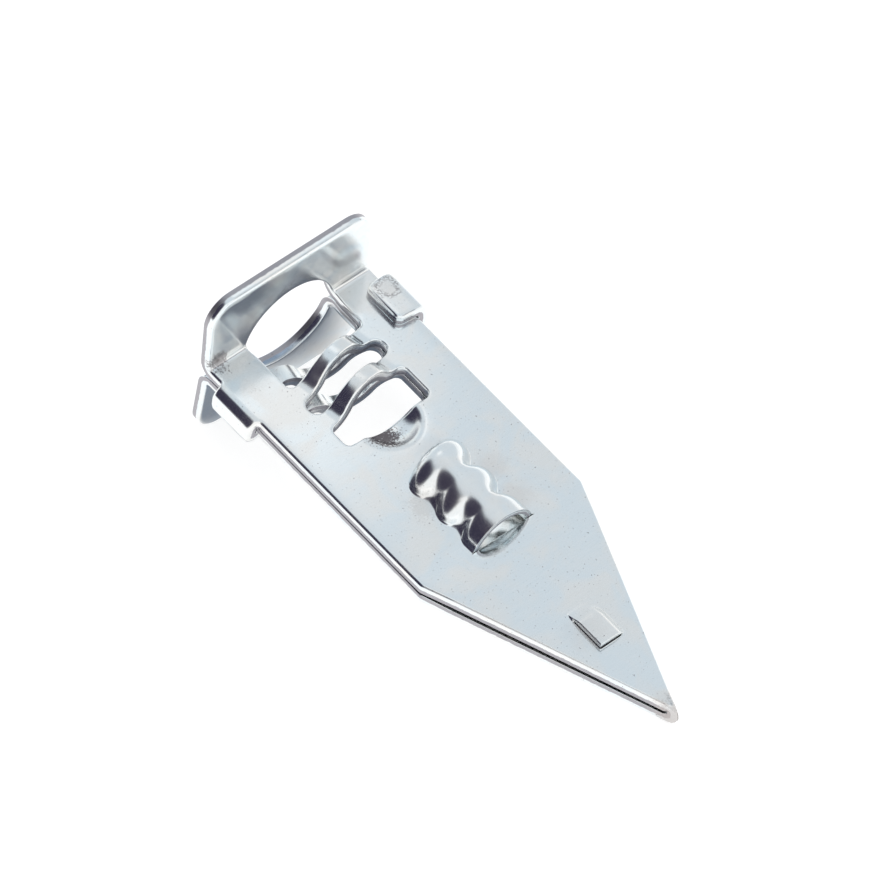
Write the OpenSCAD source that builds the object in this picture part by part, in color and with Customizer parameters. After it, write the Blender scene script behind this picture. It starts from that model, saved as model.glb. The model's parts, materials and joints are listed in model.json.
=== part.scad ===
// Drive-in drywall anchor: one strip of zinc-plated sheet steel, folded back on itself at the point.
// The two leaves lie together, clasped by a side tab each, and carry half a screw thread apiece.
// Strip frame while building: X from the head to the point, Y across, Z out of the front leaf,
// with the screw on the X axis. The finished strip is then laid on the rim of one flange and its point.

/* [Strip] */
// Sheet thickness
sheet_t = 0.8; // [0.7:0.05:0.9]
// Width of both leaves
strip_w = 14; // [13:0.5:16]
// Distance from the head face to the shoulders, where the taper starts
shoulder_x = 22.4; // [22.4:0.2:25]
// Distance from the head face to the very point
length = 40; // [39:0.5:44]
// Width of the fold at the very point
fold_w = 0.7; // [0.7:0.1:1.2]
// Gap between the leaves at the fold
fold_gap = 0.3; // [0.2:0.05:0.4]
// Gap between the leaves at the head
head_gap = 0.06; // [0.04:0.01:0.1]

/* [Head flanges] */
// Height of each flange above its leaf
flange_h = 6.04; // [5.5:0.1:7]
// Corner radius of the flanges
flange_corner_r = 2; // [1:0.1:2.5]
// Backward lean of the flanges past square, degrees
flange_lean = 2.3; // [0:0.1:5]
// Inside radius of the sharp bends
bend_r = 0.35; // [0.3:0.05:0.5]
// Radius of the screw hole, half of it in each flange
hole_r = 3.8; // [3.5:0.1:4]

/* [Half thread] */
// Thread pitch of the screw
pitch = 2.75; // [2.7:0.01:2.8]
// Distance from the head face to the first strap of the front leaf
strap_x = 5.33; // [5.2:0.01:5.5]
// Width of a strap
strap_w = 1.25; // [1:0.05:1.3]
// Number of straps on each leaf
strap_count = 2; // [2:1:2]
// Outer radius of a strap about the screw
strap_r = 2.53; // [2.45:0.01:2.65]
// Radius of the arcs at the feet of a strap
strap_foot_r = 1.3; // [1.1:0.05:1.4]

/* [Windows] */
// Half width of the window behind the hole
window_a_half = 3.7; // [3.6:0.05:3.75]
// Half width of the slots between straps
slot_half = 3.76; // [3.7:0.02:3.9]
// Half width of the last window
window_c_half = 3.6; // [3.5:0.05:3.7]
// Where the last window of the front leaf ends
window_c_end = 11.15; // [11:0.05:11.3]
// How much sooner the last window of the back leaf ends
back_window_c_lead = 0.45; // [0.3:0.05:0.5]
// Corner radius of the windows
window_corner_r = 0.5; // [0.3:0.05:0.6]

/* [Tooth and thread tunnel] */
// Half width of the pressed tooth
tooth_half = 2.15; // [1.9:0.05:2.2]
// Depth of the pressed tooth
tooth_depth = 0.65; // [0.4:0.05:0.7]
// Crest of the first lobe of the front tunnel
lobe_x = 16.1; // [16:0.05:16.3]
// Number of lobes
lobe_count = 3; // [3:1:3]
// Outer radius of a lobe about the screw
lobe_r = 2.85; // [2.75:0.05:2.95]
// Outer radius of the waists between lobes
waist_r = 2.25; // [2.15:0.05:2.35]
// Radius of the rounding over a lobe
lobe_round_r = 1.2; // [1.1:0.05:1.25]
// Where the open mouth of the front tunnel is cut
mouth_x = 22.5; // [22.1:0.05:22.5]

/* [Barb] */
// Where the barb starts
barb_x = 30.1; // [29:0.1:31]
// Length of the barb
barb_l = 3.1; // [2.8:0.1:3.5]
// Half width of the barb
barb_half = 0.85; // [0.7:0.05:1]
// Rise of the barb at its sheared corner
barb_rise = 0.5; // [0.3:0.05:0.6]
// Gap along the sheared side of the barb
barb_side_gap = 0.15; // [0.05:0.05:0.2]
// Gap past the far end of the barb
barb_end_gap = 0.3; // [0.1:0.05:0.4]

/* [Side tabs] */
// Where the tabs start
tab_x = 2.2; // [2:0.1:2.5]
// Length of a tab along the strip
tab_l = 3.8; // [3:0.1:4]
// How much shorter a tab is at its free end
tab_taper = 0.35; // [0:0.05:0.5]
// How far a tab reaches in over the other leaf, from the edge
tab_reach = 1.65; // [1.2:0.05:2]
// Running clearance between a tab and the leaf that it clasps
tab_clear = 0.04; // [0.03:0.01:0.06]
// Inside radius of the tab bends
tab_bend_r = 0.15; // [0.1:0.01:0.15]
// Corner radius of a tab's free end
tab_corner_r = 0.5; // [0.3:0.05:0.6]

/* [Hidden] */
$fn = 96;
zinc = [0.78, 0.81, 0.83];
half_w = strip_w / 2;
past = 0.5;
fold_r = fold_gap / 2 + sheet_t;
fold_x = length - fold_r;
neck_lead = 1;
neck_x = length - neck_lead;
fold_lap = 5;
shoulder_r = 0.6;
closing = asin((fold_gap - head_gap) / 2 / fold_x);
bend_outer_r = bend_r + sheet_t;
flange_l = flange_h - bend_r;
leaf_mid_gap = (head_gap + fold_gap) / 4;
axis_h = sheet_t + leaf_mid_gap;
back_shift = -pitch / 2;
helix_lean = atan(pitch / (2 * PI * strap_r));
strap_foot_y = sqrt(pow(strap_r + strap_foot_r, 2) - pow(axis_h + strap_foot_r, 2));
slot_edge = strap_w / 2 / cos(helix_lean);
tooth_r = (pow(tooth_half, 2) + pow(tooth_depth, 2)) / (2 * tooth_depth);
tooth_gap = head_gap + (fold_gap - head_gap) * window_c_end / fold_x;
barb_crown = 0.65;
barb_sag = barb_half * (1 + barb_crown);
barb_r = (pow(barb_sag, 2) + pow(barb_rise, 2)) / (2 * barb_rise);
tunnel_end_room = 2;
slot_bridge = 0.02;
window_lap = 0.05;
strap_clear = 0.1;
tab_gap = head_gap + (fold_gap - head_gap) * tab_x / fold_x;

function unit(v) = v / norm(v);
function corner_half(p, a, b) = acos(unit(a - p) * unit(b - p)) / 2;
function corner_cuts(p, a, b, r) = [
    for (n = [a, b]) p + unit(n - p) * r / tan(corner_half(p, a, b))
];
function corner_centre(p, a, b, r) =
    p + unit(unit(a - p) + unit(b - p)) * r / sin(corner_half(p, a, b));

// A polygon whose corners have the radii listed with them, as true arcs.
module rounded_polygon(corners, radii) {
    count = len(corners);
    function before(i) = corners[(i + count - 1) % count];
    function after(i) = corners[(i + 1) % count];
    polygon([
        for (i = [0:count - 1], q = radii[i] > 0
            ? corner_cuts(corners[i], before(i), after(i), radii[i]) : [corners[i]]) q
    ]);
    for (i = [0:count - 1])
        if (radii[i] > 0)
            translate(corner_centre(corners[i], before(i), after(i), radii[i]))
                circle(r = radii[i]);
}

// Part of a flat ring between two directions, less than half a turn apart.
module ring_sector(inner_r, outer_r, from_deg, to_deg) {
    intersection() {
        difference() {
            circle(r = outer_r);
            circle(r = inner_r);
        }
        polygon([
            [0, 0],
            for (k = [0:4])
                2 * outer_r * [cos(from_deg + (to_deg - from_deg) * k / 4),
                               sin(from_deg + (to_deg - from_deg) * k / 4)]
        ]);
    }
}

// Stands a flat outline drawn in Y and Z up across the strip, and gives it a length along X.
module along_x(l) {
    rotate([90, 0, 90]) linear_extrude(l) children();
}

// Stands a flat outline drawn in X and Z up along the strip, centred on Y.
module across_y(w) {
    rotate([90, 0, 0]) linear_extrude(w, center = true) children();
}

// The strip seen from above, from the head bend to the point.
module plan_outline() {
    rounded_polygon(
        [[bend_outer_r, -half_w], [shoulder_x, -half_w], [neck_x, -fold_w / 2],
         [length + past, -fold_w / 2], [length + past, fold_w / 2], [neck_x, fold_w / 2],
         [shoulder_x, half_w], [bend_outer_r, half_w]],
        [0, shoulder_r, 0, 0, 0, 0, shoulder_r, 0]
    );
}

// The strip seen from the head: square below, with the rounded corners of a flange above.
module flange_outline() {
    rounded_polygon(
        [[-half_w, -fold_r], [half_w, -fold_r], [half_w, sheet_t + flange_h],
         [-half_w, sheet_t + flange_h]],
        [0, 0, flange_corner_r, flange_corner_r]
    );
}

// One half of the folded strip from the side: flange, bend, leaf and its share of the fold.
module half_profile() {
    translate([bend_outer_r, sheet_t + bend_r]) {
        ring_sector(bend_r, bend_outer_r, 180 + flange_lean, 270);
        rotate(flange_lean)
            translate([-bend_outer_r, 0])
                square([sheet_t, flange_l]);
    }
    translate([bend_outer_r, 0])
        square([fold_x - bend_outer_r, sheet_t]);
    translate([fold_x, -fold_gap / 2])
        ring_sector(fold_gap / 2, fold_r, -fold_lap, 90);
}

// The plain half strip: its side profile drawn across, and trimmed to its two outlines.
module half_strip() {
    intersection() {
        across_y(strip_w) half_profile();
        union() {
            translate([0, 0, -fold_r]) linear_extrude(2 * fold_r) plan_outline();
            translate([-past, 0, 0]) along_x(bend_outer_r + past) flange_outline();
        }
    }
}

// X of a line that slants with the thread, at a place across the strip.
function slanted(x, y) = x - tan(helix_lean) * y;

// The window behind the screw hole, the slots between the straps and the last window.
module windows_outline(shift, c_end) {
    first = strap_x + shift - slot_edge;
    last = strap_x + shift + (strap_count - 1) * pitch + slot_edge;
    slot_r = (pitch / 2 - slot_edge) * cos(helix_lean) - slot_bridge;
    rounded_polygon(
        [[bend_outer_r - window_lap, -window_a_half], [slanted(first, -window_a_half), -window_a_half],
         [slanted(first, window_a_half), window_a_half], [bend_outer_r - window_lap, window_a_half]],
        [0, window_corner_r, window_corner_r, 0]
    );
    for (k = [0:strap_count - 2]) {
        from_x = strap_x + shift + k * pitch + slot_edge;
        to_x = strap_x + shift + (k + 1) * pitch - slot_edge;
        rounded_polygon(
            [[slanted(from_x, -slot_half), -slot_half], [slanted(to_x, -slot_half), -slot_half],
             [slanted(to_x, slot_half), slot_half], [slanted(from_x, slot_half), slot_half]],
            [slot_r, slot_r, slot_r, slot_r]
        );
    }
    rounded_polygon(
        [[slanted(last, -window_c_half), -window_c_half], [c_end, -window_c_half],
         [c_end, window_c_half], [slanted(last, window_c_half), window_c_half]],
        [window_corner_r, window_corner_r, window_corner_r, window_corner_r]
    );
}

// Room taken by a strap seen end on: a disc about the screw, running out through a foot arc on
// each side, tangent to the disc and to the leaf. The inset gives the underside of the sheet.
module strap_arch(inset) {
    foot_z = axis_h + strap_foot_r;
    circle(r = strap_r - inset);
    difference() {
        polygon([[0, 0], [strap_foot_y, foot_z], [strap_foot_y, 0],
                 [-strap_foot_y, 0], [-strap_foot_y, foot_z]]);
        for (side = [-1, 1])
            translate([side * strap_foot_y, foot_z])
                circle(r = strap_foot_r + inset);
    }
}

// Section of a strap: the sheet between the two arches, above the parting plane.
module strap_section() {
    intersection() {
        difference() {
            strap_arch(0);
            strap_arch(sheet_t);
        }
        translate([-strap_foot_y, 0]) square([2 * strap_foot_y, strap_r]);
    }
}

// One strap, turned to the lead of the thread so that it lies in the groove of the screw.
module strap(x) {
    translate([x, 0, -leaf_mid_gap])
        rotate([0, 0, helix_lean])
            translate([-strap_w / 2, 0, 0])
                along_x(strap_w) strap_section();
}

// Room under a strap: what the flat bar between two slots gives up to the arch.
module strap_room(x) {
    translate([x, 0, sheet_t / 2])
        rotate([0, 0, helix_lean])
            cube([strap_w + 2 * strap_clear, 2 * strap_foot_y, sheet_t + 2 * strap_clear],
                 center = true);
}

// Body of a thread tunnel, solid: a core with tilted lobes, one to each turn of the thread.
module tunnel_body(shift, inset, mouth) {
    start = lobe_x + shift;
    intersection() {
        union() {
            translate([start, 0, 0])
                rotate([0, 90, 0])
                    cylinder(r = waist_r - inset, h = mouth_x - lobe_x + past);
            for (k = [0:lobe_count - 1])
                translate([start + k * pitch, 0, 0])
                    rotate([0, 90, helix_lean])
                        rotate_extrude()
                            intersection() {
                                union() {
                                    translate([lobe_r - lobe_round_r, 0])
                                        circle(r = lobe_round_r - inset);
                                    translate([0, -(lobe_round_r - inset)])
                                        square([lobe_r - lobe_round_r, 2 * (lobe_round_r - inset)]);
                                }
                                translate([0, -lobe_round_r])
                                    square([lobe_r, 2 * lobe_round_r]);
                            }
        }
        translate([start - tunnel_end_room, -lobe_r, 0])
            cube([mouth - start + tunnel_end_room, 2 * lobe_r, lobe_r]);
    }
}

// Tilted cylinder that arches the barb; the inset gives the room under it.
module barb_arch(inset) {
    translate([barb_x, -barb_half * barb_crown, sheet_t - barb_r])
        rotate([0, 90 - asin(barb_rise / barb_l), 0])
            translate([0, 0, -past])
                cylinder(r = barb_r - inset, h = barb_l + barb_end_gap + 2 * past);
}

// A stretch of the strip round the barb, from a height up.
module barb_block(l, from_y, to_y, from_z) {
    translate([barb_x, from_y, from_z])
        cube([l, to_y - from_y, sheet_t + 2 * barb_rise - from_z]);
}

// Crown of the barb, where it stands out of the leaf.
module barb_crown_piece() {
    intersection() {
        difference() {
            barb_arch(0);
            barb_arch(sheet_t);
        }
        barb_block(barb_l + barb_end_gap / 2, -barb_half - barb_side_gap / 2, barb_half, sheet_t / 2);
    }
}

// What the leaf gives up to the barb: the room under the arch, and a gap along its sheared side
// and past its far end.
module barb_room() {
    intersection() {
        barb_arch(sheet_t);
        barb_block(barb_l + barb_end_gap, -barb_half - barb_side_gap, barb_half, -past);
    }
    barb_block(barb_l + barb_end_gap, -barb_half - barb_side_gap, -barb_half, -past);
    translate([barb_l, 0, 0])
        barb_block(barb_end_gap, -barb_half - barb_side_gap, barb_half, -past);
}

// Side tab: it leaves the edge of its own leaf, turns down past the other one and clasps it.
module tab() {
    inner_y = half_w + tab_clear;
    outer_y = inner_y + sheet_t;
    under = -(tab_gap + sheet_t + tab_clear);
    tip_y = half_w - tab_reach;
    bend_r_out = tab_bend_r + sheet_t;
    intersection() {
        translate([tab_x, 0, 0])
            along_x(tab_l)
                difference() {
                    rounded_polygon(
                        [[-tip_y, sheet_t], [-outer_y, sheet_t],
                         [-outer_y, under - sheet_t], [-tip_y, under - sheet_t]],
                        [0, bend_r_out, bend_r_out, 0]
                    );
                    rounded_polygon(
                        [[-tip_y + past, 0], [-inner_y, 0], [-inner_y, under], [-tip_y + past, under]],
                        [0, tab_bend_r, tab_bend_r, 0]
                    );
                    translate([-half_w + past, -past])
                        square([tab_reach, sheet_t + 2 * past]);
                }
        translate([0, 0, -3 * sheet_t])
            linear_extrude(5 * sheet_t)
                rounded_polygon(
                    [[tab_x, -outer_y], [tab_x + tab_l, -outer_y],
                     [tab_x + tab_l - tab_taper, -tip_y], [tab_x, -tip_y]],
                    [0, 0, tab_corner_r, tab_corner_r]
                );
    }
}

// The ball that presses the tooth, seen from a leaf, grown by the sheet that it has pushed ahead.
module tooth_ball(centre_z, r) {
    translate([window_c_end, 0, centre_z]) sphere(r = r);
}

// Half space past a place along the strip, on one side of a leaf.
module beyond(x, from_z, to_z) {
    translate([x, -half_w, from_z]) cube([2 * half_w, 2 * half_w, to_z - from_z]);
}

// One leaf in its own frame, with its inner face at Z = 0 and its outer face at Z = sheet_t.
// The front tooth is pressed in; the back leaf takes the same press as an outward bulge.
module leaf(shift, c_end, is_front) {
    centre_z = is_front ? sheet_t - tooth_depth + tooth_r
                        : -(sheet_t - tooth_depth + tooth_r + tooth_gap);
    ball_r = is_front ? tooth_r : tooth_r + sheet_t + tooth_gap;
    strap_places = [for (k = [0:strap_count - 1]) strap_x + shift + k * pitch];
    difference() {
        union() {
            difference() {
                half_strip();
                translate([0, 0, -head_gap / 2])
                    linear_extrude(2 * sheet_t) windows_outline(shift, c_end);
                for (x = strap_places) strap_room(x);
            }
            for (x = strap_places) strap(x);
            barb_crown_piece();
            tab();
            intersection() {
                tooth_ball(centre_z, ball_r + sheet_t);
                if (is_front) beyond(c_end, -2 * sheet_t, sheet_t / 2);
                else beyond(c_end, sheet_t / 2, 3 * sheet_t);
            }
            translate([0, 0, -leaf_mid_gap]) tunnel_body(shift, 0, mouth_x + shift);
        }
        intersection() {
            tooth_ball(centre_z, ball_r);
            beyond(c_end - past, -3 * sheet_t, 3 * sheet_t);
        }
        translate([0, 0, -leaf_mid_gap]) tunnel_body(shift, sheet_t, mouth_x + shift);
        barb_room();
    }
}

// Places a leaf so that the pair closes up towards the head about the fold.
module closed() {
    translate([fold_x, 0, 0])
        rotate([0, -closing, 0])
            translate([-fold_x, 0, fold_gap / 2])
                children();
}

module anchor_in_strip_frame() {
    difference() {
        union() {
            closed() leaf(0, window_c_end, true);
            rotate([180, 0, 0])
                closed() leaf(back_shift, window_c_end - back_window_c_lead, false);
        }
        translate([-past - 1, 0, 0])
            rotate([0, 90, 0])
                cylinder(r = hole_r, h = bend_outer_r + past + 1);
    }
}

// Lowest corner of the back flange and the tilt that brings it level with the round of the fold.
rim = [bend_outer_r - bend_r * cos(flange_lean) - flange_l * sin(flange_lean),
       sheet_t + bend_r - bend_r * sin(flange_lean) + flange_l * cos(flange_lean)];
rim_x = fold_x + (rim[0] - fold_x) * cos(closing) + (rim[1] + fold_gap / 2) * sin(closing);
rim_z = (rim[1] + fold_gap / 2) * cos(closing) - (fold_x - rim[0]) * sin(closing);
rest_tilt = atan2(rim_z, fold_x - rim_x) - asin(fold_r / norm([fold_x - rim_x, rim_z]));
rest_lift = fold_x * sin(rest_tilt) + fold_r;
heel_x = (rim_x - sheet_t * cos(flange_lean)) * cos(rest_tilt) - rim_z * sin(rest_tilt);
rest_mid_x = (heel_x + fold_x * cos(rest_tilt) + fold_r) / 2;

module anchor_strip() {
    color(zinc)
        translate([-rest_mid_x, 0, rest_lift])
            rotate([0, rest_tilt, 0])
                anchor_in_strip_frame();
}

anchor_strip();
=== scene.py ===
import json
import math

import bmesh
import bpy
import numpy as np
from bpy.props import FloatProperty, FloatVectorProperty, PointerProperty
from mathutils import Matrix, Vector
from mathutils.geometry import delaunay_2d_cdt


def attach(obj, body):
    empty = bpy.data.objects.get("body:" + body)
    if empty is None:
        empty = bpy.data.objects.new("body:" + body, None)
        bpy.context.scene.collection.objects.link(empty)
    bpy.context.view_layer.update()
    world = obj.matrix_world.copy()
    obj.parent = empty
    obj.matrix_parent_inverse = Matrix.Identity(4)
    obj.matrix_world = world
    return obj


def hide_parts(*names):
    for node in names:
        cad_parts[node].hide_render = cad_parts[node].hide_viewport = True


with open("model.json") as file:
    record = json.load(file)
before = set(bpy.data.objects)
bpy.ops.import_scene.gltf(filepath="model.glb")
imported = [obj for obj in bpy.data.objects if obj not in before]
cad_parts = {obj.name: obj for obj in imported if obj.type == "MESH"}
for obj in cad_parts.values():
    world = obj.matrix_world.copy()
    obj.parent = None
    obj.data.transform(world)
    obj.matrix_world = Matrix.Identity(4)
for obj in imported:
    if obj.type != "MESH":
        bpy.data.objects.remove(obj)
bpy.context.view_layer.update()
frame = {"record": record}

bl_info = {
    "name": "Drive-in drywall anchor",
    "version": (1, 0),
    "blender": (4, 5, 0),
    "location": "View3D > Sidebar > Anchor",
    "description": "Forms a drywall anchor from one flat blank of zinc-plated sheet and lights it",
    "category": "Object",
}

STRIP_NODE = "anchor_strip"
MM = 0.001

# Sizes in millimetres. Places along the strip are measured from the head face.
BEND_INSIDE_R = 0.35
FLANGE_LEAN = math.radians(2.3)
FLANGE_HEIGHT = 6.04
FLANGE_CORNER_R = 2.0
HOLE_R = 3.8
SHOULDER_X = 22.4
SHOULDER_R = 0.6
STRIP_LENGTH = 40.0
FOLD_GAP = 0.3
FOLD_HALF_W = 0.2
NECK_U = 39.45
NECK_R = 0.3
PITCH = 2.75
STRAP_X = 5.33
STRAP_COUNT = 2
STRAP_W = 1.25
STRAP_WAIST = 0.14
STRAP_R = 2.53
STRAP_FOOT_R = 1.3
AXIS_DROP = 0.09
WINDOW_A_HALF = 3.7
SLOT_HALF = 3.76
WINDOW_C_HALF = 3.6
WINDOW_C_END = 11.15
BACK_WINDOW_LEAD = 0.45
WINDOW_R = 0.5
TOOTH_HALF = 2.15
TOOTH_DEPTH = 0.85
TOOTH_SOFTNESS = 0.08
TOOTH_FADE_FROM = 2.6
TOOTH_FADE_L = 0.6
LOBE_X = 16.1
LOBE_COUNT = 3
LOBE_R = 2.85
WAIST_R = 2.25
LOBE_ROUND_R = 1.2
LOBE_FOOT_R = 0.22
WAIST_FOOT_R = 0.7
LOBE_STILT = 0.22
NOTCH_DEPTH = 0.45
NOTCH_HALF = 0.75
LIP_THICKNESS = 0.4
LIP_REACH = 1.3
TUNNEL_FOOT_R = 0.3
TUNNEL_END_SLOPE = math.radians(75)
TUNNEL_LEAD = 0.4
MOUTH_X = 22.5
MOUTH_HALF = 2.72
TUNNEL_HALF = 3.5
TUNNEL_FLAT_FROM = 2.9
BARB_X = 30.1
BARB_L = 3.1
BARB_HALF = 0.85
BARB_RISE = 0.5
BARB_SLIT_LEAD = 0.5
BARB_SIDE_GAP = 0.03
BARB_END_GAP = 0.06
TAB_X = 2.2
TAB_L = 3.8
TAB_TAPER = 0.35
TAB_REACH = 1.65
TAB_CLEAR = 0.02
TAB_SIDE_CLEAR = 0.04
TAB_INSIDE_R = 0.15
TAB_CORNER_R = 0.5
TAB_NOTCH_R = 0.25
SLIT_W = 0.04

# Half of the gap between the leaves at places along them: shut at the head, sprung past the
# shoulders.
GAP_X = (0.0, 15.0, 21.5, 24.5, 30.0, 38.0, 39.05)
GAP_HALF = (0.03, 0.04, 0.06, 0.17, 0.18, 0.15, 0.15)

# Rounding of a sheared edge: how far in it reaches and how far it drops, from the edge inwards.
ROLL_TURNS = (0.0, 25.0, 50.0, 70.0, 90.0)
OUTLINE_ROLL = (0.30, 0.20)
WINDOW_ROLL = (0.15, 0.10)
SLIT_ROLL = (0.03, 0.02)
BURR_DROP = 0.03
# Shares of a sheared wall's height at which the mesh has a row of points.
WALL_ROWS = (0.3, 0.62)
SHARP_EDGE = math.radians(38)

# Steps of the mesh along the outline and the openings, and on the flats.
OUTLINE_STEP = 0.22
HOLE_STEP = 0.2
WINDOW_STEP = 0.13
SLIT_STEP = 0.12
FLAT_STEP = 0.6
CREST_STEP = 0.01


def mm(value):
    """A length property in millimetres."""
    return value / MM


def turn_about_y(angle):
    """Rotation matrix about Y, as numpy."""
    return np.array(Matrix.Rotation(angle, 3, "Y"))


def rest_placement():
    """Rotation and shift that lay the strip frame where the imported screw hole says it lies."""
    hole = next(m for m in frame["record"]["mounts"] if m["name"] == "screw_hole")
    tilt = math.asin(hole["axis"][2])
    turn = turn_about_y(tilt)
    on_axis = np.array((0.4, 0.0, 0.0))
    return turn, np.array(hole["pos_m"]) / MM - turn @ on_axis


def along_arc(centre, radius, start, end, step):
    """Points on an arc between two directions in radians, both ends included."""
    count = max(2, int(abs(end - start) * radius / step) + 2)
    angles = np.linspace(start, end, count)
    return np.stack((centre[0] + radius * np.cos(angles), centre[1] + radius * np.sin(angles)), 1)


def rounded_loop(corners, radii, step):
    """A closed outline through corners, each with its own radius, sampled at about one step."""
    corners = [np.array(c, float) for c in corners]
    count = len(corners)
    path = []
    for i, (corner, radius) in enumerate(zip(corners, radii)):
        before, after = corners[i - 1], corners[(i + 1) % count]
        u = (before - corner) / np.linalg.norm(before - corner)
        v = (after - corner) / np.linalg.norm(after - corner)
        if radius == 0:
            path.append(corner[None])
            continue
        half = math.acos(np.clip(u @ v, -1, 1)) / 2
        cut = radius / math.tan(half)
        middle = corner + (u + v) / np.linalg.norm(u + v) * radius / math.sin(half)
        first, last = corner + u * cut - middle, corner + v * cut - middle
        start = math.atan2(first[1], first[0])
        sweep = (math.atan2(last[1], last[0]) - start + math.pi) % (2 * math.pi) - math.pi
        path.append(along_arc(middle, radius, start, start + sweep, min(step, radius * 0.3)))
    return resampled(np.concatenate(path), step, closed=True)


def resampled(path, step, closed):
    """Adds points to the long stretches of a path."""
    out = []
    count = len(path)
    for i in range(count if closed else count - 1):
        a, b = path[i], path[(i + 1) % count]
        pieces = max(1, round(np.linalg.norm(b - a) / step))
        out.extend(a + (b - a) * k / pieces for k in range(pieces))
    if not closed:
        out.append(path[-1])
    return np.array(out)


def loop_normals(points, side):
    """Unit normals of a closed loop, to its left if side is 1 and to its right if it is -1."""
    run = np.roll(points, -1, 0) - np.roll(points, 1, 0)
    run /= np.linalg.norm(run, axis=1)[:, None]
    return side * np.stack((-run[:, 1], run[:, 0]), 1)


def is_inside(points, loop):
    """Which points lie inside a closed loop, by counting crossings."""
    inside = np.zeros(len(points), bool)
    x, y = points[:, 0], points[:, 1]
    for (ax, ay), (bx, by) in zip(loop, np.roll(loop, -1, 0)):
        if ay == by:
            continue
        crosses = (ay > y) != (by > y)
        inside ^= crosses & (x < (bx - ax) * (y - ay) / (by - ay) + ax)
    return inside


def distance_to_loop(points, loop):
    """Distance from each point to the nearest stretch of a closed loop."""
    best = np.full(len(points), np.inf)
    for a, b in zip(loop, np.roll(loop, -1, 0)):
        run = b - a
        along = np.clip((points - a) @ run / max(run @ run, 1e-12), 0, 1)
        best = np.minimum(best, np.linalg.norm(points - a - along[:, None] * run, axis=1))
    return best


def smooth_step(x):
    """0 to 1 with level ends."""
    x = np.clip(x, 0, 1)
    return x * x * (3 - 2 * x)


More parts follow.
